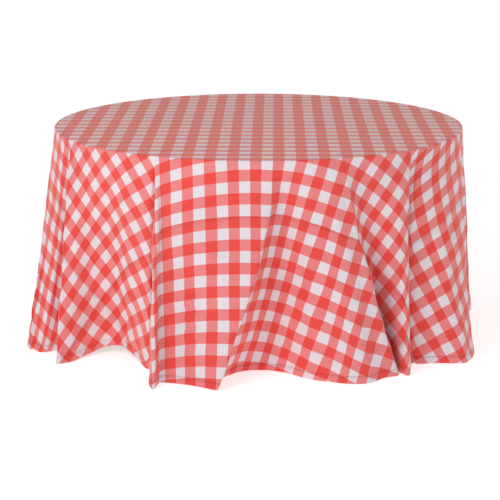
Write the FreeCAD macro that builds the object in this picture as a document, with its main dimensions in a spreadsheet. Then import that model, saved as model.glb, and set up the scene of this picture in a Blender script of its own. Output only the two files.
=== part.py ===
import FreeCAD, Part
import math
import os
import Sketcher
from FreeCAD import Placement, Rotation, Vector

# A round folding banquet table wearing a floor-length round tablecloth.
#
# Frame: millimetres, +Z up, origin on the floor under the centre of the table,
# +X to the right and -Y towards the person who looks at it.
# The cloth is a thin draped shell with a stitched hem. Under it stand a plywood top
# with a laminate face, an edge band and battens, and two tubular leg frames that
# fold inwards, each held open by a brace of two links.

# ---------------------------------------------------------------- dimensions
DIMENSIONS = (
    # alias, value, what it is
    ("table_diameter", 1524.0, "across the bare table, edge band included"),
    ("table_height", 748.0, "floor to the top face of the laminate"),
    ("laminate_thickness", 1.0, "hard wearing face of the top"),
    ("core_thickness", 18.0, "plywood of the top"),
    ("band_thickness", 3.0, "edge band round the plywood"),
    ("batten_thickness", 30.0, "height of every batten under the top"),
    ("batten_width", 50.0, "width of the two stiffening battens"),
    ("batten_length", 1100.0, "length of the two stiffening battens"),
    ("batten_offset", 350.0, "stiffening batten's middle line from the centre"),
    ("hinge_batten_width", 84.0, "width of the batten under the right saddles"),
    ("hinge_batten_length", 400.0, "length of the batten under the right saddles"),
    ("hinge_reach", 500.0, "leg hinge axis from the table's centre"),
    ("hinge_drop", 29.0, "mounting face to the leg hinge axis"),
    ("leg_lean", 3.3, "degrees that a leg frame leans outwards"),
    ("tube_radius", 12.7, "outside of the leg and pivot tubes"),
    ("crossbar_radius", 9.5, "outside of the crossbars"),
    ("tube_wall", 1.5, "wall of every tube"),
    ("pivot_tube_length", 372.0, "tube that turns in the saddles"),
    ("leg_top_half", 170.0, "leg from the middle plane, at the hinge"),
    ("leg_foot_half", 260.0, "leg from the middle plane, at the floor"),
    ("foot_crossbar_drop", 600.0, "hinge axis to the lower crossbar, along the leg"),
    ("glide_height", 30.0, "plastic glide under each leg"),
    ("glide_radius", 15.5, "glide at the floor"),
    ("saddle_offset", 110.0, "saddle's middle from the middle plane"),
    ("saddle_width", 30.0, "length of a saddle along the tube"),
    ("saddle_clearance", 0.3, "gap between saddle and pivot tube"),
    ("saddle_plate", 3.0, "strip that a saddle is bent from"),
    ("saddle_flange", 25.0, "flange of a saddle each side"),
    ("brace_arm", 280.0, "hinge axis to each end of the brace"),
    ("crossbar_gap", 30.0, "brace end to the upper crossbar, along the leg"),
    ("link_width", 24.0, "width of the brace links"),
    ("link_thickness", 4.0, "thickness of the brace links"),
    ("link_side", 1.0, "link's inner face from the middle plane"),
    ("ear_side", 5.5, "bracket ear's inner face from the middle plane"),
    ("ear_thickness", 4.0, "thickness of the bracket ears"),
    ("rivet_radius", 4.0, "shank of the brace rivets"),
    ("rivet_head_radius", 7.0, "head of the brace rivets"),
    ("rivet_clearance", 0.06, "radial play of a rivet in its hole"),
    ("screw_radius", 2.4, "shank of the wood screws"),
    ("screw_head_radius", 4.6, "head of the wood screws"),
    ("cloth_gap", 0.3, "air between the cloth and the laminate"),
    ("cloth_thickness", 1.5, "drawn thickness of the cloth"),
    ("cloth_clearance", 4.0, "cloth's inside from the edge band"),
    ("hem_height", 25.0, "turned and stitched hem at the floor"),
    ("hem_extra", 0.75, "how far the hem stands out each side of the cloth"),
)

# Small details that nothing else depends on, in millimetres.
BAND_ROUNDING = 1.0            # outer corners of the edge band
BATTEN_EASE = 4.0              # chamfer on a batten's lower edges
BATTEN_SCREW_X = (-480.0, 0.0, 480.0)
HINGE_SCREW_Y = (-170.0, 0.0, 170.0)
SCREW_BITE = 12.0              # how far a batten screw goes into the plywood
SHORT_SCREW = 16.0             # length of the saddle and anchor screws
SCREW_HEAD_HEIGHT = 2.2
FLANGE_SCREW_REACH = 14.0      # saddle screw from the saddle's side wall
ANCHOR_FOOT = (60.0, 40.0)     # length and width of a brace anchor's foot
ANCHOR_SCREW_X = 20.0          # anchor screw from the pivot, along the table
ANCHOR_SCREW_Y = 27.0          # anchor screw from the ear
RIVET_TAIL = 0.2               # how far a rivet stands past its link
RIVET_HEAD = 3.0
KNEE_RIVET_HEAD = 2.5
GLIDE_TAPER = 1.5              # a glide is narrower at its top by this
CLIP_WALL = 3.0                # wall of a brace clip's collar
CLIP_LENGTH = 26.0             # collar of a brace clip, along its crossbar
THROUGH = 20.0                 # depth of a hole through an ear
LONG_BORE = 60.0               # depth of the bore through a collar
TRIM_BLOCK = 200.0             # block that trims a leg level over its glide
RING_STEP = 3                  # degrees between the points of a skirt curve

# The skirt's folds, seen from above: degrees round from the front (positive to the
# right) and how far the hem stands from the table's axis, in millimetres.
# A ridge and the valley after it alternate all the way round. No valley is narrower
# than the table, so the stiff cloth lifts off it.
VALLEY = 774.0
FOLDS = (
    (3.0, VALLEY), (25.0, 926.0), (36.0, 776.0), (38.5, 860.0), (41.5, VALLEY),
    (51.0, 955.0), (58.0, 918.0), (67.0, VALLEY), (76.0, 825.0), (85.0, VALLEY),
    (95.0, 835.0), (104.0, VALLEY), (114.5, 850.0), (123.0, VALLEY), (133.0, 895.0),
    (142.0, 776.0), (151.5, 880.0), (161.0, VALLEY), (171.0, 905.0), (180.0, 776.0),
    (189.0, 895.0), (199.0, VALLEY), (208.5, 895.0), (217.5, 776.0), (228.0, 900.0),
    (237.0, VALLEY), (246.0, 870.0), (256.0, VALLEY), (264.5, 840.0), (274.0, VALLEY),
    (283.0, 850.0), (291.5, 776.0), (301.0, 940.0), (307.5, 790.0), (313.0, 930.0),
    (319.0, VALLEY), (332.0, 800.0), (339.0, 965.0), (344.5, 897.0), (352.0, 928.0),
)

doc = FreeCAD.newDocument("DressedTable")

sheet = doc.addObject("Spreadsheet::Sheet", "Dimensions")
for row, (alias, value, note) in enumerate(DIMENSIONS, start=1):
    sheet.set("A%d" % row, alias)
    sheet.set("B%d" % row, str(value))
    sheet.setAlias("B%d" % row, alias)
    sheet.set("C%d" % row, note)
doc.recompute()


def size(alias):
    """A driving dimension, read back from the sheet."""
    return float(sheet.get(alias))


def cell(alias):
    """The same dimension as an expression."""
    return "Dimensions." + alias


# ---------------------------------------------------------------- worked-out places
TABLE_RADIUS = size("table_diameter") / 2
UNDERSIDE = size("table_height") - size("laminate_thickness") - size("core_thickness")
LEAN = math.radians(size("leg_lean"))
FRONT, BACK = -1, 1
LEFT, RIGHT = -1, 1
SIDE_NAMES = {LEFT: "left", RIGHT: "right"}
END_NAMES = {FRONT: "front", BACK: "back"}

# The right frame hangs one batten lower, so that it folds flat over the left one.
MOUNT_HEIGHT = {LEFT: UNDERSIDE, RIGHT: UNDERSIDE - size("batten_thickness")}
HINGE_HEIGHT = {side: MOUNT_HEIGHT[side] - size("hinge_drop") for side in (LEFT, RIGHT)}

# An isosceles triangle: hinge axis, table anchor and leg clip. Folded, the clip
# meets the anchor, so both links lie together along the top.
FOLD_ANGLE = math.pi / 2 + LEAN
LINK_LENGTH = size("brace_arm") * math.sin(FOLD_ANGLE / 2)
LINK_ANGLE = (math.pi - FOLD_ANGLE) / 2


def along_leg(side, distance, y=0.0):
    """A point in a leg frame's plane, so far down from its hinge axis."""
    x = side * (size("hinge_reach") + distance * math.sin(LEAN))
    return Vector(x, y, HINGE_HEIGHT[side] - distance * math.cos(LEAN))


def leg_half(side, distance):
    """How far a leg stands from the middle plane, so far down from the hinge."""
    share = distance * math.cos(LEAN) / HINGE_HEIGHT[side]
    return size("leg_top_half") + share * (size("leg_foot_half") - size("leg_top_half"))


def anchor_point(side):
    """The brace's pivot under the top."""
    return Vector(side * (size("hinge_reach") - size("brace_arm")), 0, HINGE_HEIGHT[side])


def knee_point(side):
    """The middle pivot of the open brace."""
    return (anchor_point(side) + along_leg(side, size("brace_arm"))) * 0.5


# ---------------------------------------------------------------- building helpers
nodes = []


def publish(feature, label):
    """Name a finished sub-part: its label is its node's name."""
    feature.Label = label
    nodes.append(feature)
    return feature


def bind(feature, **expressions):
    """Tie a feature's properties to the sheet."""
    for prop, expression in expressions.items():
        feature.setExpression(prop, expression)
    return feature


def origin_plane(body, role):
    """One of a body's own origin planes, by its role."""
    for plane in body.Origin.OriginFeatures:
        if plane.Role == role:
            return plane
    raise ValueError(role)


def sketch_in(body, role, name):
    """An empty sketch on an origin plane of the body."""
    sketch = body.newObject("Sketcher::SketchObject", name)
    sketch.AttachmentSupport = [(origin_plane(body, role), "")]
    sketch.MapMode = "FlatFace"
    return sketch


def add_circle(sketch, radius, expression, x=0.0, y=0.0):
    """A fixed-centre circle whose radius follows an expression."""
    index = sketch.addGeometry(Part.Circle(Vector(x, y, 0), Vector(0, 0, 1), radius), False)
    if x == 0.0 and y == 0.0:
        sketch.addConstraint(Sketcher.Constraint("Coincident", index, 3, -1, 1))
    else:
        sketch.addConstraint(Sketcher.Constraint("DistanceX", -1, 1, index, 3, x))
        sketch.addConstraint(Sketcher.Constraint("DistanceY", -1, 1, index, 3, y))
    number = sketch.addConstraint(Sketcher.Constraint("Radius", index, radius))
    sketch.setExpression("Constraints[%d]" % number, expression)
    return index


def pad(body, sketch, length_expression, name, midplane=False):
    """Pad a sketch by a length from the sheet."""
    feature = body.newObject("PartDesign::Pad", name)
    feature.Profile = sketch
    feature.Midplane = midplane
    feature.setExpression("Length", length_expression)
    sketch.Visibility = False
    return feature


def new_body(name):
    """A PartDesign body for one sub-part."""
    return doc.addObject("PartDesign::Body", name)


def cylinder(name, radius, height, base, direction=Vector(0, 0, 1)):
    """A bound cylinder that starts at base and runs along direction."""
    feature = doc.addObject("Part::Cylinder", name)
    bind(feature, Radius=radius, Height=height)
    feature.Placement = Placement(base, Rotation(Vector(0, 0, 1), direction))
    return feature


def cut(name, base, tool):
    """A boolean difference."""
    feature = doc.addObject("Part::Cut", name)
    feature.Base = base
    feature.Tool = tool
    return feature


def fuse(name, *shapes):
    """A boolean union with its seams removed."""
    feature = doc.addObject("Part::MultiFuse", name)
    feature.Shapes = list(shapes)
    feature.Refine = True
    return feature


def group(name, *shapes):
    """Separate solids that share one node."""
    feature = doc.addObject("Part::Compound", name)
    feature.Links = list(shapes)
    return feature


# ---------------------------------------------------------------- table top
def round_plate(label, radius_expression, radius, thickness_expression, base_z):
    """A padded disc that lies at base_z."""
    body = new_body(label)
    sketch = sketch_in(body, "XY_Plane", label + "_outline")
    add_circle(sketch, radius, radius_expression)
    body.Tip = pad(body, sketch, thickness_expression, label + "_pad")
    body.Placement = Placement(Vector(0, 0, base_z), Rotation())
    return publish(body, label)


def edge_band():
    """The band that wraps the plywood and the laminate's rim."""
    body = new_body("edge_band")
    sketch = sketch_in(body, "XY_Plane", "band_outline")
    add_circle(sketch, TABLE_RADIUS, cell("table_diameter") + " / 2")
    inner = TABLE_RADIUS - size("band_thickness")
    add_circle(sketch, inner, "%s / 2 - %s" % (cell("table_diameter"), cell("band_thickness")))
    height = "%s + %s" % (cell("core_thickness"), cell("laminate_thickness"))
    band = pad(body, sketch, height, "band_pad")
    doc.recompute()
    outer_edges = [
        "Edge%d" % number
        for number, edge in enumerate(band.Shape.Edges, start=1)
        if edge.Closed and abs(edge.Curve.Radius - TABLE_RADIUS) < 0.01
    ]
    rounding = body.newObject("PartDesign::Fillet", "band_rounding")
    rounding.Base = (band, outer_edges)
    rounding.Radius = BAND_ROUNDING
    body.Tip = rounding
    body.Placement = Placement(Vector(0, 0, UNDERSIDE), Rotation())
    return publish(body, "edge_band")


def batten(label, length, width, centre_x, centre_y):
    """A wooden strip under the top."""
    strip = doc.addObject("Part::Box", label + "_blank")
    bind(strip, Length=length, Width=width, Height=cell("batten_thickness"))
    doc.recompute()
    corner = Vector(centre_x - strip.Length.Value / 2, centre_y - strip.Width.Value / 2,
                    UNDERSIDE - size("batten_thickness"))
    strip.Placement = Placement(corner, Rotation())
    doc.recompute()
    lower_edges = [
        (number, BATTEN_EASE, BATTEN_EASE)
        for number, edge in enumerate(strip.Shape.Edges, start=1)
        if abs(edge.BoundBox.ZMax - corner.z) < 0.01
    ]
    eased = doc.addObject("Part::Chamfer", label)
    eased.Base = strip
    eased.Edges = lower_edges
    return publish(eased, label)


def wood_screw(name, x, y, head_z, length):
    """A pan-head screw driven upwards, its head under head_z."""
    shank = cylinder(name + "_shank", cell("screw_radius"), str(length), Vector(x, y, head_z))
    head = doc.addObject("Part::Cone", name + "_head")
    bind(head, Radius1=cell("screw_head_radius") + " * 0.7", Radius2=cell("screw_head_radius"))
    head.Height = SCREW_HEAD_HEIGHT
    head.Placement = Placement(Vector(x, y, head_z - SCREW_HEAD_HEIGHT), Rotation())
    return fuse(name, shank, head)


def table_top():
    """Laminate, plywood, edge band, battens and their screws."""
    inner_radius = "%s / 2 - %s" % (cell("table_diameter"), cell("band_thickness"))
    radius = TABLE_RADIUS - size("band_thickness")
    round_plate("tabletop_core", inner_radius, radius, cell("core_thickness"), UNDERSIDE)
    round_plate("top_laminate", inner_radius, radius, cell("laminate_thickness"),
                UNDERSIDE + size("core_thickness"))
    edge_band()
    for end in (FRONT, BACK):
        batten(END_NAMES[end] + "_batten", cell("batten_length"), cell("batten_width"),
               0.0, end * size("batten_offset"))
    batten("hinge_batten", cell("hinge_batten_width"), cell("hinge_batten_length"),
           size("hinge_reach"), 0.0)
    head_z = UNDERSIDE - size("batten_thickness")
    screw_length = size("batten_thickness") + SCREW_BITE
    spots = [(x, end * size("batten_offset")) for end in (FRONT, BACK) for x in BATTEN_SCREW_X]
    spots += [(size("hinge_reach"), y) for y in HINGE_SCREW_Y]
    screws = [wood_screw("batten_screw_%d" % number, x, y, head_z, screw_length)
              for number, (x, y) in enumerate(spots, start=1)]
    publish(group("batten_screw_set", *screws), "batten_screws")


# ---------------------------------------------------------------- saddles and brackets
def saddle(side, end):
    """A strap bent round the pivot tube, with a flange each side."""
    label = "%s_saddle_%s" % (SIDE_NAMES[side], END_NAMES[end])
    inner = size("tube_radius") + size("saddle_clearance")
    plate = size("saddle_plate")
    outer = inner + plate
    drop = size("hinge_drop")
    reach = outer + size("saddle_flange")
    body = new_body(label)
    sketch = sketch_in(body, "XZ_Plane", label + "_profile")
    corners = {
        "top_left": Vector(-reach, 0, 0), "mouth_left": Vector(-inner, 0, 0),
        "bend_left": Vector(-inner, -drop, 0), "bend_right": Vector(inner, -drop, 0),
        "mouth_right": Vector(inner, 0, 0), "top_right": Vector(reach, 0, 0),
        "low_right": Vector(reach, -plate, 0), "neck_right": Vector(outer, -plate, 0),
        "turn_right": Vector(outer, -drop, 0), "turn_left": Vector(-outer, -drop, 0),
        "neck_left": Vector(-outer, -plate, 0), "low_left": Vector(-reach, -plate, 0),
    }
    route = ["top_left", "mouth_left", "bend_left", "bend_right", "mouth_right", "top_right",
             "low_right", "neck_right", "turn_right", "turn_left", "neck_left", "low_left"]
    arcs = {("bend_left", "bend_right"): inner, ("turn_right", "turn_left"): outer}
    for start, finish in zip(route, route[1:] + route[:1]):
        if (start, finish) in arcs:
            lowest = Vector(0, -drop - arcs[(start, finish)], 0)
            curve = Part.Arc(corners[start], lowest, corners[finish])
        else:
            curve = Part.LineSegment(corners[start], corners[finish])
        sketch.addGeometry(curve, False)
    # Every line and arc runs from its point 1 to its point 2, apart from the outer bend.
    outer_bend = route.index("turn_right")
    for number in range(len(route)):
        following = (number + 1) % len(route)
        this_end = 1 if number == outer_bend else 2
        next_start = 2 if following == outer_bend else 1
        sketch.addConstraint(Sketcher.Constraint("Coincident", number, this_end,
                                                 following, next_start))
    body.Tip = pad(body, sketch, cell("saddle_width"), label + "_pad", midplane=True)
    place = Vector(side * size("hinge_reach"), end * size("saddle_offset"), MOUNT_HEIGHT[side])
    body.Placement = Placement(place, Rotation())
    return publish(body, label)


def anchor_bracket(side):
    """The plate under the top that holds the brace: a foot and an ear."""
    label = SIDE_NAMES[side] + "_brace_anchor"
    pivot = anchor_point(side)
    half = size("link_width") / 2
    foot = doc.addObject("Part::Box", label + "_foot")
    foot.Length, foot.Width = ANCHOR_FOOT
    bind(foot, Height=cell("ear_thickness"))
    foot.Placement = Placement(Vector(pivot.x - ANCHOR_FOOT[0] / 2, size("ear_side"),
                                      UNDERSIDE - size("ear_thickness")), Rotation())
    ear = doc.addObject("Part::Box", label + "_ear")
    bind(ear, Length=cell("link_width"), Width=cell("ear_thickness"))
    ear.Height = UNDERSIDE - pivot.z
    ear.Placement = Placement(Vector(pivot.x - half, size("ear_side"), pivot.z), Rotation())
    end = cylinder(label + "_end", cell("link_width") + " / 2", cell("ear_thickness"),
                   Vector(pivot.x, size("ear_side"), pivot.z), Vector(0, 1, 0))
    plate = fuse(label + "_plate", foot, ear, end)
    hole = cylinder(label + "_hole", "%s + %s" % (cell("rivet_radius"), cell("rivet_clearance")),
                    str(THROUGH), Vector(pivot.x, 0, pivot.z), Vector(0, 1, 0))
    return publish(cut(label, plate, hole), label)


def headed_rivet(label, centre, facing):
    """A rivet across the brace: shank from the link's inner face, head outside the ear."""
    start = size("link_side") - RIVET_TAIL
    head_start = size("ear_side") + size("ear_thickness")
    direction = Vector(0, facing, 0)
    shank = cylinder(label + "_shank", cell("rivet_radius"), str(head_start - start),
                     centre + direction * start, direction)
    head = doc.addObject("Part::Cone", label + "_head")
    bind(head, Radius1=cell("rivet_head_radius"), Radius2=cell("rivet_radius"))
    head.Height = RIVET_HEAD
    head.Placement = Placement(centre + direction * head_start,
                               Rotation(Vector(0, 0, 1), direction))
    return publish(fuse(label, shank, head), label)


def saddles_and_anchors():
    """Everything that joins the leg frames to the top."""
    saddle_screws = []
    anchor_screws = []
    screw_spot = (size("tube_radius") + size("saddle_clearance") + size("saddle_plate")
                  + FLANGE_SCREW_REACH)
    for side in (LEFT, RIGHT):
        for end in (FRONT, BACK):
            saddle(side, end)
            for hand in (-1, 1):
                saddle_screws.append(wood_screw(
                    "saddle_screw_%d" % (len(saddle_screws) + 1),
                    side * size("hinge_reach") + hand * screw_spot,
                    end * size("saddle_offset"),
                    MOUNT_HEIGHT[side] - size("saddle_plate"), SHORT_SCREW))
        anchor_bracket(side)
        headed_rivet(SIDE_NAMES[side] + "_anchor_rivet", anchor_point(side), 1)
        for hand in (-1, 1):
            anchor_screws.append(wood_screw(
                "anchor_screw_%d" % (len(anchor_screws) + 1),
                anchor_point(side).x + hand * ANCHOR_SCREW_X, size("ear_side") + ANCHOR_SCREW_Y,
                UNDERSIDE - size("ear_thickness"), SHORT_SCREW))
    publish(group("saddle_screw_set", *saddle_screws), "saddle_screws")
    publish(group("anchor_screw_set", *anchor_screws), "anchor_screws")


# ---------------------------------------------------------------- leg frames
def bar_between(name, radius, start, finish):
    """A solid round bar between two points."""
    along = finish - start
    return cylinder(name, radius, str(along.Length), start, along)


def tube_between(name, radius, start, finish):
    """A round tube between two points."""
    outer = bar_between(name + "_outer", radius, start, finish)
    bore = bar_between(name + "_bore", "%s - %s" % (radius, cell("tube_wall")), start, finish)
    return cut(name, outer, bore)


def leg_frame(side):
    """Pivot tube, two splayed legs, two crossbars, glides and the brace clip."""
    name = SIDE_NAMES[side]
    half = size("pivot_tube_length") / 2
    hinge = along_leg(side, 0.0)
    hinge_low = hinge + Vector(0, -half, 0)
    hinge_high = hinge + Vector(0, half, 0)
    publish(tube_between(name + "_pivot_tube", cell("tube_radius"), hinge_low, hinge_high),
            name + "_pivot_tube")

    glide_top = (HINGE_HEIGHT[side] - size("glide_height")) / math.cos(LEAN)
    for end in (FRONT, BACK):
        label = "%s_leg_%s" % (name, END_NAMES[end])
        top = along_leg(side, 0.0, end * leg_half(side, 0.0))
        ankle = along_leg(side, glide_top, end * leg_half(side, glide_top))
        direction = (ankle - top).normalize()
        beyond = ankle + direction * size("glide_height") * 2
        tube = tube_between(label + "_tube", cell("tube_radius"), top, beyond)
        cope = bar_between(label + "_cope", cell("tube_radius"), hinge_low, hinge_high)
        floor_block = doc.addObject("Part::Box", label + "_trim")
        floor_block.Length = TRIM_BLOCK
        floor_block.Width = TRIM_BLOCK
        floor_block.Height = TRIM_BLOCK
        corner = Vector(ankle.x - TRIM_BLOCK / 2, ankle.y - TRIM_BLOCK / 2,
                        size("glide_height") - TRIM_BLOCK)
        floor_block.Placement = Placement(corner, Rotation())
        publish(cut(label, cut(label + "_coped", tube, cope), floor_block), label)

        glide = doc.addObject("Part::Cone", label + "_glide")
        bind(glide, Radius1=cell("glide_radius"), Radius2=cell("glide_radius") + " - %s" % GLIDE_TAPER,
             Height=cell("glide_height"))
        glide.Placement = Placement(Vector(ankle.x, ankle.y, 0), Rotation())
        publish(glide, "%s_glide_%s" % (name, END_NAMES[end]))

    for level, distance in (("brace", size("brace_arm") + size("crossbar_gap")),
                            ("foot", size("foot_crossbar_drop"))):
        label = "%s_%s_crossbar" % (name, level)
        reach = leg_half(side, distance)
        bar = tube_between(label + "_tube", cell("crossbar_radius"),
                           along_leg(side, distance, -reach), along_leg(side, distance, reach))
        for end in (FRONT, BACK):
            top = along_leg(side, 0.0, end * leg_half(side, 0.0))
            foot = along_leg(side, glide_top, end * leg_half(side, glide_top))
            cope = bar_between("%s_cope_%s" % (label, END_NAMES[end]), cell("tube_radius"),
                               top, foot)
            bar = cut("%s_coped_%s" % (label, END_NAMES[end]), bar, cope)
        publish(bar, label)

    brace_clip(side)
    headed_rivet(name + "_clip_rivet", along_leg(side, size("brace_arm")), FRONT)


def brace_clip(side):
    """A collar on the upper crossbar with an ear that carries the lower link."""
    label = SIDE_NAMES[side] + "_brace_clip"
    pivot = along_leg(side, size("brace_arm"))
    bar = along_leg(side, size("brace_arm") + size("crossbar_gap"))
    back = Vector(0, -1, 0)
    near = back * size("ear_side")
    ear_end = cylinder(label + "_end", cell("link_width") + " / 2", cell("ear_thickness"),
                       pivot + near, back)
    web = doc.addObject("Part::Box", label + "_web")
    bind(web, Length=cell("link_width"), Width=cell("ear_thickness"), Height=cell("crossbar_gap"))
    tilt = Rotation(Vector(0, 1, 0), -side * math.degrees(LEAN))
    corner = Vector(-size("link_width") / 2, 0, 0)
    web.Placement = Placement(
        bar + back * (size("ear_side") + size("ear_thickness")) + tilt.multVec(corner), tilt)
    collar = cylinder(label + "_collar", cell("crossbar_radius") + " + %s" % CLIP_WALL,
                      str(CLIP_LENGTH), bar + near, back)
    plate = fuse(label + "_plate", ear_end, web, collar)
    bore = cylinder(label + "_bore", cell("crossbar_radius"), str(LONG_BORE),
                    bar - back * LONG_BORE / 3, back)
    hole = cylinder(label + "_hole", "%s + %s" % (cell("rivet_radius"), cell("rivet_clearance")),
                    str(THROUGH), pivot, back)
    return publish(cut(label, cut(label + "_bored", plate, bore), hole), label)


# ---------------------------------------------------------------- brace links
def brace_link(side, label, start, facing):
    """A flat bar with round ends and a hole where it turns; its knee end is closed."""
    body = new_body(label)
    sketch = sketch_in(body, "XZ_Plane", label + "_outline")
    half = size("link_width") / 2
    length = LINK_LENGTH
    sketch.addGeometry(Part.LineSegment(Vector(0, half, 0), Vector(length, half, 0)), False)
    sketch.addGeometry(Part.LineSegment(Vector(length, -half, 0), Vector(0, -half, 0)), False)
    sketch.addGeometry(Part.Arc(Vector(length, half, 0), Vector(length + half, 0, 0),
                                Vector(length, -half, 0)), False)
    sketch.addGeometry(Part.Arc(Vector(0, -half, 0), Vector(-half, 0, 0),
                                Vector(0, half, 0)), False)
    add_circle(sketch, size("rivet_radius") + size("rivet_clearance"),
               "%s + %s" % (cell("rivet_radius"), cell("rivet_clearance")))
    body.Tip = pad(body, sketch, cell("link_thickness"), label + "_pad", midplane=True)
    towards = knee_point(side) - start
    turn = Rotation(Vector(0, 1, 0), math.degrees(math.atan2(-towards.z, towards.x)))
    middle = size("link_side") + size("link_thickness") / 2
    body.Placement = Placement(start + Vector(0, facing * middle, 0), turn)
    return publish(body, label)


def knee_rivet(side, label, facing):
    """The half of the knee rivet that one link carries."""
    face = size("link_side") + size("link_thickness")
    direction = Vector(0, facing, 0)
    head = doc.addObject("Part::Cone", label)
    bind(head, Radius1=cell("rivet_head_radius"), Radius2=cell("rivet_radius"))
    head.Height = KNEE_RIVET_HEAD
    head.Placement = Placement(knee_point(side) + direction * face,
                               Rotation(Vector(0, 0, 1), direction))
    return publish(head, label)


def brace(side):
    """Two links that stand in line while the leg is open."""
    name = SIDE_NAMES[side]
    brace_link(side, name + "_upper_link", anchor_point(side), BACK)
    knee_rivet(side, name + "_upper_knee_rivet", BACK)
    brace_link(side, name + "_lower_link", along_leg(side, size("brace_arm")), FRONT)
    knee_rivet(side, name + "_lower_knee_rivet", FRONT)


# ---------------------------------------------------------------- tablecloth
def fold_radius(azimuth):
    """Hem radius at an azimuth in degrees: cosine ramps between ridge and valley."""
    turns = [(angle % 360.0, radius) for angle, radius in FOLDS]
    turns.sort()
    turns = [(turns[-1][0] - 360.0, turns[-1][1])] + turns + [(turns[0][0] + 360.0, turns[0][1])]
    place = azimuth % 360.0
    for (start, low), (finish, high) in zip(turns, turns[1:]):
        if start <= place <= finish:
            share = (place - start) / (finish - start)
            return low + (high - low) * (1.0 - math.cos(math.pi * share)) / 2.0
    raise ValueError(azimuth)


def skirt_ring(height, offset):
    """A closed curve round the skirt at a height, moved in or out by an offset."""
    top = size("table_height") + size("cloth_gap")
    share = (top - height) / top
    inside = TABLE_RADIUS + size("cloth_clearance")
    points = []
    for azimuth in range(0, 360, RING_STEP):
        radius = inside + (fold_radius(azimuth) - inside) * share + offset
        angle = math.radians(azimuth)
        points.append(Vector(radius * math.sin(angle), -radius * math.cos(angle), height))
    curve = Part.BSplineCurve()
    curve.interpolate(Points=points, PeriodicFlag=True)
    return Part.Wire(curve.toShape())


def skirt_solid(bottom, top, offset):
    """The solid inside the skirt between two heights."""
    rings = [skirt_ring(top, offset), skirt_ring(bottom, offset)]
    return Part.makeLoft(rings, True, True)


def soft_solid(label, shape):
    """A cloth piece, whose shape is worked out from the fold list."""
    feature = doc.addObject("Part::Feature", label)
    feature.Shape = shape
    feature.Placement = Placement()
    return publish(feature, label)


def tablecloth():
    """One round cloth: flat on the table, falling in folds, hemmed at the floor."""
    thickness = size("cloth_thickness")
    laid = size("table_height") + size("cloth_gap")
    hem_top = size("hem_height")
    outer = skirt_solid(hem_top, laid + thickness, thickness)
    inner = skirt_solid(hem_top, laid, 0.0)
    soft_solid("tablecloth", outer.cut(inner))
    proud = size("hem_extra")
    hem_outer = skirt_solid(0.0, hem_top, thickness + proud)
    hem_inner = skirt_solid(0.0, hem_top, -proud)
    soft_solid("tablecloth_hem", hem_outer.cut(hem_inner))


# ---------------------------------------------------------------- build and export
def check_document():
    """Stop if any object failed or any sub-part is empty or broken."""
    for thing in doc.Objects:
        for state in ("Invalid", "Error"):
            if state in thing.State:
                raise RuntimeError("%s is %s" % (thing.Label, state))
    for feature in nodes:
        if feature.Shape.isNull() or not feature.Shape.isValid():
            raise RuntimeError("bad shape: " + feature.Label)


def main():
    table_top()
    saddles_and_anchors()
    for side in (LEFT, RIGHT):
        leg_frame(side)
        brace(side)
    tablecloth()
    doc.recompute()
    check_document()
    os.makedirs("parts", exist_ok=True)
    for feature in nodes:
        feature.Shape.exportStep("parts/%s.step" % feature.Label)
        print("%-26s solids %d  volume %.0f mm3" % (
            feature.Label, len(feature.Shape.Solids), feature.Shape.Volume))
    print("link length %.2f mm, link angle %.3f deg, fold %.3f deg" % (
        LINK_LENGTH, math.degrees(LINK_ANGLE), math.degrees(FOLD_ANGLE)))


main()
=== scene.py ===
import math

import bpy
import numpy as np
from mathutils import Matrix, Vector
from mathutils.noise import noise


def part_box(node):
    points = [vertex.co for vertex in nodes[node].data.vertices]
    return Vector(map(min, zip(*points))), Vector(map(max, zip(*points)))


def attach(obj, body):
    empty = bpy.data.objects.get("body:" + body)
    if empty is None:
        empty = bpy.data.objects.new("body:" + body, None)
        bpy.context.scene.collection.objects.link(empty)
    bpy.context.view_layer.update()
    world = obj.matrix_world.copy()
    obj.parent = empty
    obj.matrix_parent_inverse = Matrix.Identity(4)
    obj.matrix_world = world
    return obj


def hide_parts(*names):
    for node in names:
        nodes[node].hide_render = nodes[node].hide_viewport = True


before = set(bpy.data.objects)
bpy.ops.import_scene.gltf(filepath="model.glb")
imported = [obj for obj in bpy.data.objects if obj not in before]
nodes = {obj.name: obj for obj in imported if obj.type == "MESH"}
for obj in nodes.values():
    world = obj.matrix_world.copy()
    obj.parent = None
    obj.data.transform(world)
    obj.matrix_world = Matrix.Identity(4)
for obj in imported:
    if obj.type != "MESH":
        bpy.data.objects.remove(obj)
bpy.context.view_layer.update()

# ---------------------------------------------------------------- sizes, in metres
band_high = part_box("edge_band")[1]
TABLE_RADIUS = band_high.x
TABLE_TOP = band_high.z

CLOTH_RADIUS = 1.540          # the round cloth, about 121 inches across once hemmed
CLOTH_CENTRE = (0.004, 0.010) # it lies a little off the table's centre
CLOTH_THICK = 0.0009
CORNER_RADIUS = 0.0028        # the cloth's bend over the table's rim
CLOTH_CLEARANCE = 0.0024      # between the table's rim and the hanging cloth
FLOOR_CLEARANCE = 0.0014      # between the cloth's edge and the floor
COLUMNS = 720                 # of the skirt's mesh, all the way round
ROWS = 57                     # of the skirt's mesh, from the rim to the hem
FLAT_RADII = (0.06, 0.2, 0.36, 0.52, 0.66, 0.735)   # rings of the mesh on the flat top
BEND_TURNS = (30, 60)         # degrees of the mesh rings on the bend over the rim
TOP_GAP = 0.0001              # between the laminate and the cloth
HEM_WIDTH = 0.025
HEM_THICK = 0.0026
HEM_TAPER = 0.75              # the hem's upper edge has this share of its thickness
HEM_FULL = 0.55               # and it is full at this share of its width
HEM_FLOOR = 0.0002            # no point of the hem is lower
SEAM_INSET = 0.0025           # the stitching from the hem's upper edge
STITCH_PITCH = 0.0032
STITCH_LENGTH = 0.0024
STITCH_THICK = 0.0005
STITCH_OUT = HEM_THICK * 0.43 # from the middle of the hem to the middle of the stitches

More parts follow.
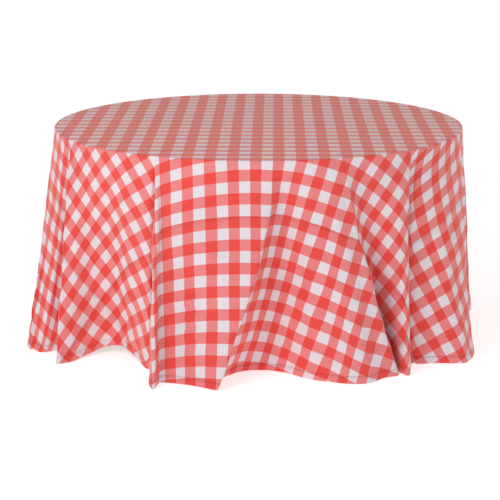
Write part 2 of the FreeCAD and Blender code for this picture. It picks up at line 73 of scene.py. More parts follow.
CHECK_REPEAT = 0.0773         # one white and one red stripe
WHITE_COLUMN_X = 0.0375       # centre of a white stripe, either way
WHITE_ROW_Y = -0.7722

CLOTH_LEVEL = TABLE_TOP + TOP_GAP + CLOTH_THICK / 2
RIM_RADIUS = TABLE_RADIUS + CLOTH_CLEARANCE + CLOTH_THICK / 2
BEND_START = RIM_RADIUS - CORNER_RADIUS
SKIRT_START = BEND_START + CORNER_RADIUS * math.pi / 2   # measured along the cloth
SKIRT_TOP = CLOTH_LEVEL - CORNER_RADIUS

# The folds of the skirt, round the table from the front towards the right, in degrees: where the
# fold starts on the rim, where it ends on the cloth's edge, where that edge lies, how far out, and
# how high the edge stands over the floor.
FOLDS = [
    (5.6, 0.8, -8.2, 0.808, 0), (6.3, 3.6, -5.5, 0.745, 0), (7.2, 6.3, -2.4, 0.711, 0),
    (8.5, 9.2, 2.4, 0.704, 0), (11.0, 13.0, 8.5, 0.743, 0), (13.5, 16.2, 12.7, 0.820, 0),
    (16.0, 19.2, 17.5, 0.873, 0), (18.0, 22.0, 20.6, 0.908, 0), (20.3, 25.5, 25.2, 0.926, 0),
    (21.6, 27.3, 29.1, 0.898, 0), (22.4, 29.3, 32.8, 0.900, 0), (23.5, 32.8, 34.9, 0.805, 0),
    (26.0, 36.0, 36.6, 0.722, 0), (42.0, 43.4, 34.8, 0.920, 0), (43.0, 46.0, 38.0, 0.870, 0),
    (46.0, 53.5, 41.0, 0.675, 0), (50.0, 60.5, 41.7, 0.838, 0), (55.5, 64.1, 46.5, 0.893, 0),
    (60.5, 67.8, 50.2, 0.955, 0), (66.0, 70.5, 53.8, 0.945, 0), (74.0, 74.0, 58.3, 0.918, 0),
    (79.0, 83.0, 66.5, 0.735, 0), (86.5, 89.5, 76.0, 0.825, 0), (94.0, 96.0, 85.0, 0.728, 0),
    (102.0, 103.0, 95.0, 0.835, 0), (109.5, 110.0, 104.0, 0.722, 0), (118.5, 118.0, 114.5, 0.850, 0),
    (126.0, 125.0, 123.0, 0.728, 0), (135.0, 134.0, 133.0, 0.895, 0), (143.0, 142.0, 142.0, 0.745, 0),
    (151.0, 150.0, 151.5, 0.880, 0), (159.5, 158.0, 161.0, 0.732, 0), (169.0, 167.5, 171.0, 0.905, 0),
    (177.0, 176.0, 180.0, 0.748, 0), (185.0, 183.5, 189.0, 0.875, 0), (193.5, 191.5, 199.0, 0.735, 0),
    (202.0, 200.0, 208.5, 0.895, 0), (210.5, 208.5, 217.5, 0.742, 0), (219.5, 217.5, 228.0, 0.900, 0),
    (228.0, 226.0, 237.0, 0.730, 0), (236.0, 234.0, 246.0, 0.870, 0), (245.0, 242.0, 256.0, 0.726, 0),
    (252.0, 249.0, 264.5, 0.840, 0), (260.0, 256.0, 274.0, 0.722, 0), (267.5, 263.5, 283.0, 0.850, 0),
    (275.0, 270.0, 291.5, 0.735, 0), (280.0, 281.0, 300.4, 0.960, 0),
    (284.0, 283.5, 300.8, 0.940, 0.006), (287.5, 286.0, 303.2, 0.930, 0),
    (293.0, 290.0, 304.0, 0.888, 0), (297.5, 297.5, 307.5, 0.735, 0.01),
    (300.2, 307.7, 312.8, 0.953, 0), (303.5, 310.0, 313.6, 0.906, 0),
    (309.5, 313.8, 312.8, 0.800, 0.012), (314.5, 315.7, 313.3, 0.752, 0.024),
    (317.5, 316.9, 314.5, 0.727, 0.028), (321.0, 319.0, 316.9, 0.706, 0.028),
    (324.5, 321.8, 320.5, 0.712, 0.02), (328.5, 324.4, 326.5, 0.748, 0.01),
    (332.0, 327.0, 331.5, 0.792, 0), (333.0, 330.8, 333.5, 0.700, 0.01),
    (333.7, 341.5, 337.8, 0.950, 0), (334.3, 343.4, 339.7, 0.985, 0), (335.2, 346.4, 339.0, 0.908, 0),
    (342.0, 349.7, 343.5, 0.897, 0), (352.0, 352.7, 348.2, 0.910, 0), (364.3, 355.3, 352.1, 0.932, 0),
    (365.0, 357.8, 350.2, 0.878, 0),
]


# ---------------------------------------------------------------- the drape
# How a column of the skirt gets from the rim to the edge, by its degrees on the cloth's edge:
# above 1 it turns sideways early, near the rim, as under the swag at the right; below 1, late.
TURNS = [
    (-82.0, 1.0), (-72.0, 1.7), (-62.0, 1.0), (-9.0, 1.0), (-5.0, 0.57), (9.0, 0.7), (16.0, 1.0),
    (23.0, 1.0), (27.0, 0.77), (34.0, 0.85), (40.0, 1.0), (48.0, 1.0), (54.0, 3.2), (69.0, 2.8),
    (76.0, 1.0),
]
# Above 1 the fold stays shallow until it is near the floor.
FLARES = [(-52.0, 1.0), (-44.0, 1.15), (-38.0, 1.5), (-33.0, 1.3), (-29.0, 1.0), (70.0, 1.0)]
ROUNDNESS = 0.8               # 1 for a smooth hem curve, less for sharper turns at the folds
GIVE = 1.06                   # a column may hang this much longer than it was cut

# Small folds: where on the flat cloth, how large a patch, which way they repeat, spacing and height.
BUCKLES = [
    ((-0.23, -1.27), (0.06, 0.13), 84.0, 0.058, 0.0060),
    ((-0.10, -1.08), (0.07, 0.05), 78.0, 0.070, 0.0040),
    ((1.22, -0.74), (0.13, 0.05), 100.0, 0.052, 0.0060),
    ((-1.32, -0.25), (0.16, 0.07), 85.0, 0.046, 0.0060),
    ((0.95, -0.40), (0.16, 0.04), 95.0, 0.060, 0.0050),
    ((-0.93, -1.10), (0.07, 0.07), 45.0, 0.060, 0.0045),
    ((0.30, -1.30), (0.12, 0.10), 60.0, 0.090, 0.0045),
    ((0.36, -0.92), (0.05, 0.06), 20.0, 0.060, 0.0035),
]
# Soft unevenness of the whole skirt: size of the bumps and their height.
UNEVEN = ((0.17, 0.0042), (0.06, 0.0017))
FADE_AT_RIM = 0.25            # share of the skirt over which the unevenness grows, from the rim
FADE_AT_HEM = 0.08            # share over which it dies down, towards the hem
LEFT_AT_HEM = 0.35            # what is left of it there


def plan(degrees, radius):
    """Points in plan, by the angle from the front towards the right."""
    angle = np.radians(degrees)
    return np.stack([radius * np.sin(angle), -radius * np.cos(angle)], -1)


def length_of(vectors):
    return np.sqrt(np.einsum("...k,...k->...", vectors, vectors))


def cloth_edge(degrees, inside=0.0):
    """The cloth's edge, or a line that far inside it, as flat points from the table's centre."""
    way = plan(degrees, 1.0)
    centre = np.array(CLOTH_CENTRE)
    along = way @ centre
    reach = along + np.sqrt(along**2 + (CLOTH_RADIUS - inside)**2 - centre @ centre)
    return way * reach[..., None]


def periodic(at, values, where, turn=360.0):
    """Values between the folds, linear, on a closed circle; turn is what one lap adds to them."""
    return np.interp(where, np.concatenate([at - 360, at, at + 360]),
                     np.concatenate([values - turn, values, values + turn]))


def columns_of(count):
    """Each column of the skirt: the degrees where it starts on the rim and ends on the cloth's edge."""
    rows = np.array(FOLDS)
    middle = (rows[:, 0] + rows[:, 1]) / 2
    where = middle[0] + np.arange(count) * 360.0 / count
    return periodic(middle, rows[:, 0], where), periodic(middle, rows[:, 1], where)


def power_of(table, edge_angles):
    """A power from TURNS or FLARES for each column."""
    at, power = np.array(table).T
    return periodic(at, power, edge_angles, turn=0.0)


def hem_guide(angles):
    """A smooth closed curve in plan through the hem points of FOLDS."""
    rows = np.array(FOLDS)
    at = np.concatenate([rows[:, 1] - 360, rows[:, 1], rows[:, 1] + 360])
    points = np.tile(plan(rows[:, 2], rows[:, 3]), (3, 1))
    step = np.diff(at)
    slope = np.diff(points, axis=0) / step[:, None]
    tangent = np.zeros_like(points)
    tangent[1:-1] = slope[:-1] * step[1:, None] + slope[1:] * step[:-1, None]
    tangent[1:-1] *= (ROUNDNESS / (step[:-1] + step[1:]))[:, None]
    k = np.searchsorted(at, angles, side="right") - 1
    h = step[k][:, None]
    u = ((angles - at[k]) / step[k])[:, None]
    return (
        (2 * u**3 - 3 * u**2 + 1) * points[k] + (u**3 - 2 * u**2 + u) * h * tangent[k]
        + (3 * u**2 - 2 * u**3) * points[k + 1] + (u**3 - u**2) * h * tangent[k + 1]
    )


def sweep(start, end, turned, flared):
    """Plan points of each column from start to end: the direction follows turned, the distance flared."""
    step = (end - start)[:, None]
    direction = unit(start[:, None] + step * turned[..., None])
    distance = length_of(start[:, None] + step * flared[..., None])
    return direction * distance[..., None]


def unit(vectors):
    return vectors / np.maximum(length_of(vectors), 1e-9)[..., None]


def shares(edge_angles, rows):
    """How far down each column its rows are, plainly and with its early or late turn."""
    share = np.linspace(0.0, 1.0, rows)[None, :]
    power = power_of(TURNS, edge_angles)[:, None]
    late = share ** (1.0 / np.minimum(power, 1.0))
    return share, 1.0 - (1.0 - late) ** np.maximum(power, 1.0)


def flat_skirt(columns, rows):
    """The skirt as it was cut."""
    rim_angles, edge_angles = columns_of(columns)
    share, turned = shares(edge_angles, rows)
    share = np.broadcast_to(share, turned.shape)
    return sweep(plan(rim_angles, SKIRT_START), cloth_edge(edge_angles), turned, share)


def hung_skirt(columns, rows):
    """The skirt on the table: each column runs from the rim to the hem's curve near the floor."""
    rim_angles, edge_angles = columns_of(columns)
    share, turned = shares(edge_angles, rows)
    flat = flat_skirt(columns, rows)
    rim = plan(rim_angles, RIM_RADIUS)
    guide = hem_guide(edge_angles)
    height = periodic(np.array(FOLDS)[:, 1], np.array(FOLDS)[:, 4], edge_angles, turn=0.0)
    height = np.maximum(height, FLOOR_CLEARANCE)
    length = length_of(flat[:, -1] - flat[:, 0]) * GIVE
    drop = np.minimum(np.sqrt(length**2 - length_of(guide - rim)**2), SKIRT_TOP - height)
    skirt = np.zeros((columns, rows, 3))
    flared = share ** power_of(FLARES, edge_angles)[:, None]
    skirt[:, :, :2] = sweep(rim, guide, turned, flared)
    skirt[:, :, 2] = SKIRT_TOP - drop[:, None] * share
    return skirt


def soft_noise(points, size):
    """Smooth noise of about plus or minus one, at a point of the flat cloth, with bumps of that size."""
    return np.array([noise(Vector((x / size, y / size, 0.0))) for x, y in points.reshape(-1, 2)]
                    ).reshape(points.shape[:-1]) * 2.0


def buckles(flat):
    """How far the cloth stands off its smooth shape: a soft unevenness, and small folds in a few places."""
    (coarse, coarse_height), (fine, fine_height) = UNEVEN
    amount = coarse_height * soft_noise(flat, coarse) + fine_height * soft_noise(flat + 3.0, fine)
    for (x, y), (wide, high), turn, spacing, height in BUCKLES:
        along_x, along_y = flat[..., 0] - x, flat[..., 1] - y
        patch = np.exp(-(along_x / wide)**2 - (along_y / high)**2)
        angle = math.radians(turn)
        wave = np.sin(math.tau * (along_x * math.cos(angle) + along_y * math.sin(angle)) / spacing)
        amount = amount + height * patch * wave
    return amount


def drape():
    """The skirt's mesh points, by column and row, with its unevenness."""
    skirt = hung_skirt(COLUMNS, ROWS)
    flat = flat_skirt(COLUMNS, ROWS)
    down = np.gradient(skirt, axis=1)
    across = np.roll(skirt, -1, 0) - np.roll(skirt, 1, 0)
    outward = unit(np.cross(across, down))
    share = np.linspace(0.0, 1.0, ROWS)
    ease = (np.minimum(1.0, share / FADE_AT_RIM)
            * np.minimum(1.0, (1.0 - share) / FADE_AT_HEM + LEFT_AT_HEM))
    skirt += outward * (buckles(flat) * ease)[..., None]
    skirt[:, :, 2] = np.maximum(skirt[:, :, 2], FLOOR_CLEARANCE)
    return skirt


# ---------------------------------------------------------------- meshes
def mesh_object(name, points, faces, cloth_uv=None, smooth=True):
    mesh = bpy.data.meshes.new(name)
    mesh.from_pydata([tuple(p) for p in points], [], [tuple(f) for f in faces])
    if cloth_uv is not None:
        layer = mesh.uv_layers.new(name="cloth_uv")
        corners = np.zeros(len(mesh.loops), np.int32)
        mesh.loops.foreach_get("vertex_index", corners)
        layer.data.foreach_set("uv", np.asarray(cloth_uv, np.float32)[corners].ravel())
    mesh.polygons.foreach_set("use_smooth", [smooth] * len(mesh.polygons))
    mesh.update()
    piece = bpy.data.objects.new(name, mesh)
    bpy.context.scene.collection.objects.link(piece)
    return piece


def ring_faces(columns, first_row, rows):
    """Quads between rows of a closed ring grid whose points run round each row."""
    faces = []
    for row in range(first_row, first_row + rows - 1):
        for column in range(columns):
            after = (column + 1) % columns
            a, b = row * columns + column, row * columns + after
            faces.append((a, a + columns, b + columns, b))
    return faces


def cloth_piece(skirt):
    """The whole cloth as one sheet: flat disc, bend over the rim, and skirt."""
    columns, rows = skirt.shape[:2]
    angles = columns_of(columns)[0]
    flat = flat_skirt(columns, rows)
    rings = []
    for radius in (*FLAT_RADII, BEND_START):
        rings.append((radius, CLOTH_LEVEL, radius))
    for turn in np.radians(BEND_TURNS):
        rings.append((
            BEND_START + CORNER_RADIUS * math.sin(turn),
            SKIRT_TOP + CORNER_RADIUS * math.cos(turn),
            BEND_START + CORNER_RADIUS * turn,
        ))
    points = []
    cloth_uv = []
    for radius, level, along in rings:
        circle = plan(angles, radius)
        points.append(np.column_stack([circle, np.full(columns, level)]))
        cloth_uv.append(plan(angles, along))
    for row in range(rows):
        points.append(skirt[:, row])
        cloth_uv.append(flat[:, row])
    points = np.concatenate(points)
    cloth_uv = np.concatenate(cloth_uv)
    faces = ring_faces(columns, 0, len(rings) + rows)
    centre = len(points)
    points = np.vstack([points, [0.0, 0.0, CLOTH_LEVEL]])
    cloth_uv = np.vstack([cloth_uv, [0.0, 0.0]])
    faces += [(column, (column + 1) % columns, centre) for column in range(columns)]
    piece = mesh_object("checked_tablecloth", points, faces, cloth_uv)
    thick = piece.modifiers.new("cloth_thickness", "SOLIDIFY")
    thick.thickness = CLOTH_THICK
    thick.offset = 0.0
    return piece


def hem_frames(skirt):
    """At each hem point: the way off the cloth's edge, the way along, and the way to the inside."""
    edge = skirt[:, -1]
    outward = unit(edge - skirt[:, -2])
    along = unit(np.roll(edge, -1, 0) - np.roll(edge, 1, 0))
    return outward, along, unit(np.cross(along, outward))


def inside_edge(grid, rows_in):
    """Points so many rows in from the cloth's edge, along each column."""
    first = np.minimum(rows_in, 1.0)[:, None]
    second = np.maximum(rows_in - 1.0, 0.0)[:, None]
    return grid[:, -1] + (grid[:, -2] - grid[:, -1]) * first + (grid[:, -3] - grid[:, -2]) * second


def hem_piece(skirt):
    """The hem: the edge turned back on itself and sewn, a flat band with a round lower edge."""
    columns, rows = skirt.shape[:2]
    across = hem_frames(skirt)[2]
    half = HEM_THICK / 2
    profile = [(-HEM_WIDTH, half * HEM_TAPER), (-HEM_WIDTH * HEM_FULL, half), (-half, half)]
    for turn in (30, 90, 150):
        angle = math.radians(turn)
        profile.append((half * math.sin(angle) * 0.9, half * math.cos(angle)))
    profile += [(off, -side) for off, side in profile[2::-1]]
    flat = flat_skirt(columns, rows)
    row_step = length_of(skirt[:, -1] - skirt[:, -2])
    points = []
    cloth_uv = []
    for off, side in profile:
        points.append(inside_edge(skirt, -off / row_step) + across * side)
        cloth_uv.append(inside_edge(flat, -off / row_step))
    points = np.concatenate(points)
    points[:, 2] = np.maximum(points[:, 2], HEM_FLOOR)
    faces = ring_faces(columns, 0, len(profile))
    last = (len(profile) - 1) * columns
    for column in range(columns):
        after = (column + 1) % columns
        faces.append((last + column, column, after, last + after))
    outwards = [face[::-1] for face in faces]
    return mesh_object("rolled_hem", points, outwards, np.concatenate(cloth_uv))


# The eight sides of one stitch: corners 0 and 1 are its ends, 2 to 5 stand round its middle.
STITCH_SIDES = (
    (0, 2, 4), (2, 1, 4), (1, 3, 4), (3, 0, 4), (2, 0, 5), (1, 2, 5), (3, 1, 5), (0, 3, 5),
)


def stitching_piece(skirt):
    """The hem's thread: a row of short raised stitches on the outside of the band."""
    outward, along, across = hem_frames(skirt)
    row_step = length_of(skirt[:, -1] - skirt[:, -2])
    line = inside_edge(skirt, (HEM_WIDTH - SEAM_INSET) / row_step) - across * STITCH_OUT
    spans = length_of(np.roll(line, -1, 0) - line)
    at = np.concatenate([[0.0], np.cumsum(spans)])
    count = int(at[-1] / STITCH_PITCH)
    where = np.arange(count) * at[-1] / count
    k = np.minimum(np.searchsorted(at, where, side="right") - 1, len(line) - 1)
    share = ((where - at[k]) / spans[k])[:, None]
    after = (k + 1) % len(line)
    middle = line[k] * (1 - share) + line[after] * share
    forward = unit(along[k] * (1 - share) + along[after] * share)
    up = unit(outward[k] * (1 - share) + outward[after] * share)
    out = unit(np.cross(forward, up))
    ends = (forward * STITCH_LENGTH / 2, up * STITCH_THICK / 2, out * STITCH_THICK / 2)
    corners = [middle + ends[0], middle - ends[0], middle + ends[1], middle - ends[1],
               middle + ends[2], middle - ends[2]]
    points = np.stack(corners, 1).reshape(-1, 3)
    faces = []
    for stitch in range(count):
        first = stitch * 6
        for a, b, c in STITCH_SIDES:
            faces.append((first + a, first + b, first + c))
    return mesh_object("hem_stitching", points, faces, smooth=False)


# ---------------------------------------------------------------- materials
class Finish:
    """A node material with one principled shader, and short calls to add nodes to it."""

    def __init__(self, name, roughness, **sockets):
        self.material = bpy.data.materials.new(name)
        self.material.use_nodes = True
        self.tree = self.material.node_tree
        self.shader = self.tree.nodes["Principled BSDF"]
        self.shader.inputs["Roughness"].default_value = roughness
        for socket, value in sockets.items():
            self.shader.inputs[socket.replace("_", " ")].default_value = value

    def add(self, kind, *values, **settings):
        """A node. Values go to its inputs in order: a number, a vector, a socket, or None to leave."""
        node = self.tree.nodes.new("ShaderNode" + kind)
        for name, value in settings.items():
            setattr(node, name, value)
        for socket, value in zip(node.inputs, values):
            self.put(value, socket)
        return node

    def put(self, value, socket):
        if value is None:
            return
        if isinstance(value, bpy.types.NodeSocket):
            self.tree.links.new(value, socket)
        else:
            socket.default_value = value

    def maths(self, operation, *values, clamp=False):
        return self.add("Math", *values, operation=operation, use_clamp=clamp).outputs[0]

    def ramp(self, factor, *stops):
        node = self.add("ValToRGB", factor)
        elements = node.color_ramp.elements
        while len(elements) < len(stops):
            elements.new(0.5)
        for element, (place, colour) in zip(elements, stops):
            element.position = place
            element.color = (*colour, 1.0)
        return node.outputs[0]

    def noise(self, vector, scale, detail=3.0, rough=0.5):
        node = self.add("TexNoise", noise_dimensions="3D")
        self.put(vector, node.inputs["Vector"])
        node.inputs["Scale"].default_value = scale
        node.inputs["Detail"].default_value = detail
        node.inputs["Roughness"].default_value = rough
        return node.outputs["Fac"]

    def place(self, stretch=(1.0, 1.0, 1.0)):
        """The point's place on the object, stretched."""
        here = self.add("TexCoord").outputs["Object"]
        node = self.add("Mapping")
        self.put(here, node.inputs["Vector"])
        node.inputs["Scale"].default_value = stretch
        return node.outputs["Vector"]

    def colour(self, socket):
        self.put(socket, self.shader.inputs["Base Color"])

    def tint(self, colour, factor, low, high):
        """Multiplies a colour by a grey that runs from low to high."""
        grey = self.ramp(factor, (0.25, (low, low, low)), (0.75, (high, high, high)))
        node = self.add("Mix", data_type="RGBA", blend_type="MULTIPLY")
        node.inputs[0].default_value = 1.0
        self.put(colour, node.inputs[6])
        self.put(grey, node.inputs[7])
        return node.outputs[2]

    def roughen(self, factor, low, high):
        node = self.add("MapRange", factor, 0.25, 0.75, low, high)
        self.put(node.outputs[0], self.shader.inputs["Roughness"])

    def bump(self, *layers):
        """Bump from (height socket, distance in metres), one over the other."""
        normal = None
        for height, distance in layers:
            node = self.add("Bump")
            self.put(height, node.inputs["Height"])
            node.inputs["Distance"].default_value = distance
            self.put(normal, node.inputs["Normal"])
            normal = node.outputs["Normal"]
        self.put(normal, self.shader.inputs["Normal"])


WHITE = (0.76, 0.70, 0.745)
PINK = (0.80, 0.205, 0.205)
RED = (0.81, 0.068, 0.056)
WARM_SHEEN = (1.0, 0.62, 0.52, 1.0)
THREAD_PITCH = 0.0009
CREASE_AT = 0.955             # from the middle, the lines where the cloth was folded in its packet
CREASE_WIDTH = 0.009
CREASE_HEIGHT = 0.0040
WRINKLE_HEIGHT = 0.0022
STRIPE_EDGE = 14.0            # how sharply a stripe changes colour
THREAD_CONTRAST = 0.12        # how much the red thread shows over or under the white
CLOTH_WEAVE_DEPTH = 0.00012
HEM_WEAVE_DEPTH = 0.00016


def gingham(name, weave_depth):
    """Woven check: stripes of red thread both ways, with the threads passing over and under."""
    finish = Finish(name, 0.78, Sheen_Weight=0.5, Sheen_Roughness=0.45, Sheen_Tint=WARM_SHEEN,
                    Specular_IOR_Level=0.25)
    cloth_uv = finish.add("UVMap", uv_map="cloth_uv").outputs[0]
    split = finish.add("SeparateXYZ", cloth_uv)
    red = []
    thread = []
    for axis, start in ((0, WHITE_COLUMN_X), (1, WHITE_ROW_Y)):
        turns = finish.maths("MULTIPLY_ADD", split.outputs[axis], math.tau / CHECK_REPEAT,
                             -start * math.tau / CHECK_REPEAT)
        wave = finish.maths("COSINE", turns)
        red.append(finish.maths("MULTIPLY_ADD", wave, -STRIPE_EDGE, 0.5, clamp=True))
        turns = finish.maths("MULTIPLY", split.outputs[axis], math.pi / THREAD_PITCH)
        thread.append(finish.maths("SINE", turns))
    over = finish.maths("MULTIPLY", thread[0], thread[1])
    level = finish.maths("MULTIPLY", finish.maths("ADD", red[0], red[1]), 0.5)
    difference = finish.maths("SUBTRACT", red[0], red[1])
    on_top = finish.maths("MULTIPLY", over, THREAD_CONTRAST)
    level = finish.maths("ADD", level, finish.maths("MULTIPLY", difference, on_top))
    colour = finish.ramp(level, (0.0, WHITE), (0.5, PINK), (1.0, RED))
    slub = finish.noise(finish.place(), 900.0, 2.0)
    colour = finish.tint(colour, slub, 0.94, 1.05)
    wash = finish.noise(finish.place(), 5.0, 4.0)
    colour = finish.tint(colour, wash, 0.96, 1.03)
    finish.colour(colour)
    finish.roughen(wash, 0.72, 0.84)
    wrinkle = finish.noise(finish.place(), 22.0, 4.0, 0.55)
    creases = []
    for axis in (0, 1):
        off = finish.maths("SUBTRACT", finish.maths("ABSOLUTE", split.outputs[axis]), CREASE_AT)
        near = finish.maths("DIVIDE", finish.maths("ABSOLUTE", off), CREASE_WIDTH)
        creases.append(finish.maths("SUBTRACT", 1.0, near, clamp=True))
    crease = finish.maths("MAXIMUM", creases[0], creases[1])
    thread_height = finish.maths("ABSOLUTE", over)
    finish.bump((wrinkle, WRINKLE_HEIGHT), (crease, CREASE_HEIGHT), (thread_height, weave_depth))
    return finish.material


def thread_finish():
    finish = Finish("hem_thread", 0.6, Sheen_Weight=0.2)
    twist = finish.add("TexWave", finish.place(), 700.0, 1.0).outputs["Fac"]
    finish.colour(finish.ramp(twist, (0.0, (0.62, 0.20, 0.19)), (1.0, (0.80, 0.34, 0.32))))
    finish.bump((twist, 0.0001))
    return finish.material


def laminate():
    finish = Finish("satin_laminate", 0.34, Coat_Weight=0.15, Coat_Roughness=0.2)
    speckle = finish.noise(finish.place(), 260.0, 2.0)
    colour = finish.ramp(speckle, (0.35, (0.50, 0.45, 0.37)), (0.65, (0.72, 0.67, 0.58)))
    cloud = finish.noise(finish.place(), 3.0, 4.0)
    finish.colour(finish.tint(colour, cloud, 0.92, 1.04))
    finish.roughen(cloud, 0.28, 0.42)
    finish.bump((speckle, 0.00015))
    return finish.material


def wood(name, pale, dark, stretch, ring_scale):
    """Planed wood, its grain drawn out along one way by stretch."""
    finish = Finish(name, 0.55, Specular_IOR_Level=0.35)
    place = finish.place(stretch)
    grain = finish.noise(place, ring_scale, 6.0, 0.6)
    fine = finish.noise(place, ring_scale * 7, 3.0)
    colour = finish.ramp(grain, (0.34, dark), (0.62, pale))
    finish.colour(finish.tint(colour, fine, 0.86, 1.06))
    finish.roughen(grain, 0.48, 0.64)
    finish.bump((grain, 0.0006), (fine, 0.0002))
    return finish.material


# Pine for the battens: pale, dark, stretch of the grain and its scale.
PINE = ((0.62, 0.44, 0.26), (0.38, 0.23, 0.11), (2.0, 26.0, 26.0), 3.0)
PLY_LAYER = 0.0030


def plywood():
    """Birch plywood: grain on its faces, and thin layers that show in its edge."""
    finish = Finish("birch_plywood", 0.5)
    split = finish.add("SeparateXYZ", finish.place())
    layers = finish.maths("SINE", finish.maths("MULTIPLY", split.outputs[2], math.tau / PLY_LAYER))
    grain = finish.noise(finish.place((1.5, 14.0, 1.0)), 9.0, 6.0, 0.6)
    both = finish.maths("MULTIPLY_ADD", layers, 0.10, grain)
    finish.colour(finish.ramp(both, (0.30, (0.40, 0.25, 0.13)), (0.68, (0.70, 0.54, 0.35))))
    finish.roughen(grain, 0.42, 0.6)
    finish.bump((grain, 0.0004))
    return finish.material


def vinyl():
    finish = Finish("edge_vinyl", 0.42)
    grain = finish.noise(finish.place(), 420.0, 3.0)
    finish.colour(finish.ramp(grain, (0.3, (0.055, 0.045, 0.038)), (0.7, (0.11, 0.092, 0.08))))
    finish.roughen(grain, 0.36, 0.5)
    finish.bump((grain, 0.0003))
    return finish.material


def powder_coat():
    finish = Finish("powder_coat", 0.45, Coat_Weight=0.1)
    orange_peel = finish.noise(finish.place(), 650.0, 2.0)
    scuffs = finish.noise(finish.place((1.0, 1.0, 0.4)), 14.0, 6.0, 0.65)
    colour = finish.ramp(scuffs, (0.30, (0.085, 0.080, 0.078)), (0.72, (0.15, 0.143, 0.138)))
    finish.colour(colour)
    finish.roughen(scuffs, 0.36, 0.56)
    finish.bump((orange_peel, 0.00025))
    return finish.material


def zinc():
    finish = Finish("zinc_plate", 0.36, Metallic=1.0)
    brushed = finish.noise(finish.place((1.0, 22.0, 1.0)), 60.0, 4.0)
    cloud = finish.noise(finish.place(), 40.0, 4.0)
    colour = finish.ramp(cloud, (0.3, (0.48, 0.48, 0.47)), (0.7, (0.68, 0.68, 0.66)))
    finish.colour(finish.tint(colour, brushed, 0.9, 1.06))
    finish.roughen(cloud, 0.28, 0.46)
    finish.bump((brushed, 0.00012))
    return finish.material


def glide_rubber():
    finish = Finish("glide_rubber", 0.7)
    grain = finish.noise(finish.place(), 500.0, 3.0)
    finish.colour(finish.ramp(grain, (0.3, (0.022, 0.022, 0.022)), (0.7, (0.05, 0.05, 0.05))))
    finish.roughen(grain, 0.62, 0.8)
    finish.bump((grain, 0.0003))
    return finish.material


def paint(piece, material):
    piece.data.materials.clear()
    piece.data.materials.append(material)


def finish_table():
    """Gives each of the table's own parts its finish, by the part of its name that says what it is."""
    softwood = wood("batten_pine", *PINE)
    hinge_wood = wood("hinge_batten_pine", *PINE)
    steel, coat = zinc(), powder_coat()
    finishes = {
        "tabletop_core": plywood(), "top_laminate": laminate(), "edge_band": vinyl(),
        "front_batten": softwood, "back_batten": softwood, "hinge_batten": hinge_wood,
    }
    rubber = glide_rubber()
    for name, node in nodes.items():
        if name in finishes:
            paint(node, finishes[name])
        elif "glide" in name:
            paint(node, rubber)
        elif any(word in name for word in ("screw", "rivet", "saddle", "clip", "anchor")):
            paint(node, steel)
        elif not name.startswith("tablecloth"):
            paint(node, coat)


# ---------------------------------------------------------------- studio
def floor_finish():
    finish = Finish("studio_floor", 0.9, Specular_IOR_Level=0.1, Emission_Strength=0.56,
                    Emission_Color=(1.0, 1.0, 1.0, 1.0))
    mottle = finish.noise(finish.place(), 1.5, 3.0)
    finish.colour(finish.ramp(mottle, (0.3, (0.80, 0.80, 0.80)), (0.7, (0.82, 0.82, 0.82))))
    return finish.material


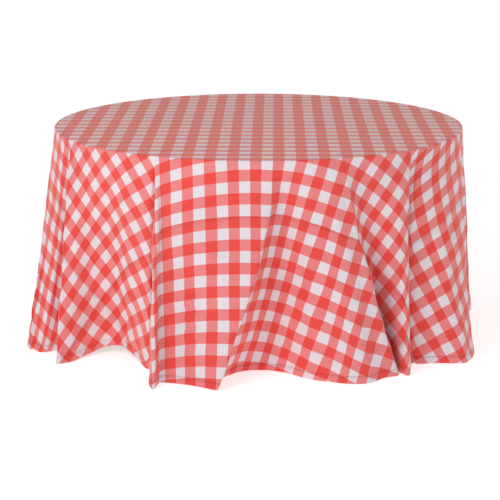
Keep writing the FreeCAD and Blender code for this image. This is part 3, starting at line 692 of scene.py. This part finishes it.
def studio():
    """A wide pale floor, a white surround that is dimmer overhead, and one soft light."""
    corners = [(x * FLOOR_HALF, y * FLOOR_HALF, FLOOR_LEVEL)
               for x, y in ((-1, -1), (1, -1), (1, 1), (-1, 1))]
    floor = mesh_object("studio_floor", corners, [(0, 1, 2, 3)], smooth=False)
    paint(floor, floor_finish())
    world = bpy.data.worlds.new("soft_white")
    bpy.context.scene.world = world
    world.use_nodes = True
    tree = world.node_tree
    background = tree.nodes["Background"]
    background.inputs["Strength"].default_value = WORLD_STRENGTH
    direction = tree.nodes.new("ShaderNodeTexCoord").outputs["Generated"]
    split = tree.nodes.new("ShaderNodeSeparateXYZ")
    tree.links.new(direction, split.inputs[0])
    ramp = tree.nodes.new("ShaderNodeValToRGB")
    ramp.color_ramp.elements[0].position = HORIZON_TOP
    ramp.color_ramp.elements[0].color = (1.0, 1.0, 1.0, 1.0)
    ramp.color_ramp.elements[1].position = OVERHEAD_FROM
    ramp.color_ramp.elements[1].color = (ZENITH, ZENITH, ZENITH, 1.0)
    tree.links.new(split.outputs[2], ramp.inputs[0])
    tree.links.new(ramp.outputs[0], background.inputs["Color"])
    for name, place, size, power in LIGHTS:
        data = bpy.data.lights.new(name, "AREA")
        data.shape = "RECTANGLE"
        data.size, data.size_y = size
        data.energy = power
        light = bpy.data.objects.new(name, data)
        light.location = place
        aim = Vector(AIM) - Vector(place)
        light.rotation_euler = aim.to_track_quat("-Z", "Y").to_euler()
        bpy.context.scene.collection.objects.link(light)
    bpy.context.scene.view_settings.view_transform = "Standard"


FLOOR_HALF = 30.0
FLOOR_LEVEL = -0.001
WORLD_STRENGTH = 1.0
HORIZON_TOP = 0.10            # the surround is white up to this height of the view direction
OVERHEAD_FROM = 0.42          # and has its overhead grey from this one up
ZENITH = 0.52
AIM = (0.0, 0.0, 0.45)        # the lights point here
LIGHTS = [
    ("key_light", (-1.7, -3.0, 2.5), (1.2, 1.2), 34.0),
]


def camera():
    """The camera, in front of the table and a little above it."""
    data = bpy.data.cameras.new("photo_camera")
    data.sensor_width = 36.0
    data.lens = 117.75
    eye = bpy.data.objects.new("photo_camera", data)
    eye.location = (0.0635, -6.1133, 1.764)
    eye.rotation_euler = (math.radians(90.0 - 13.86), 0.0, 0.0156)
    bpy.context.scene.collection.objects.link(eye)
    bpy.context.scene.camera = eye


# ---------------------------------------------------------------- building
camera()
studio()
finish_table()
skirt = drape()
cloth = cloth_piece(skirt)
hem = hem_piece(skirt)
stitching = stitching_piece(skirt)
paint(cloth, gingham("checked_cloth", CLOTH_WEAVE_DEPTH))
paint(hem, gingham("hem_cloth", HEM_WEAVE_DEPTH))
paint(stitching, thread_finish())
for piece in (cloth, hem, stitching):
    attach(piece, "cloth")
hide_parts("tablecloth")
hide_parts("tablecloth_hem")
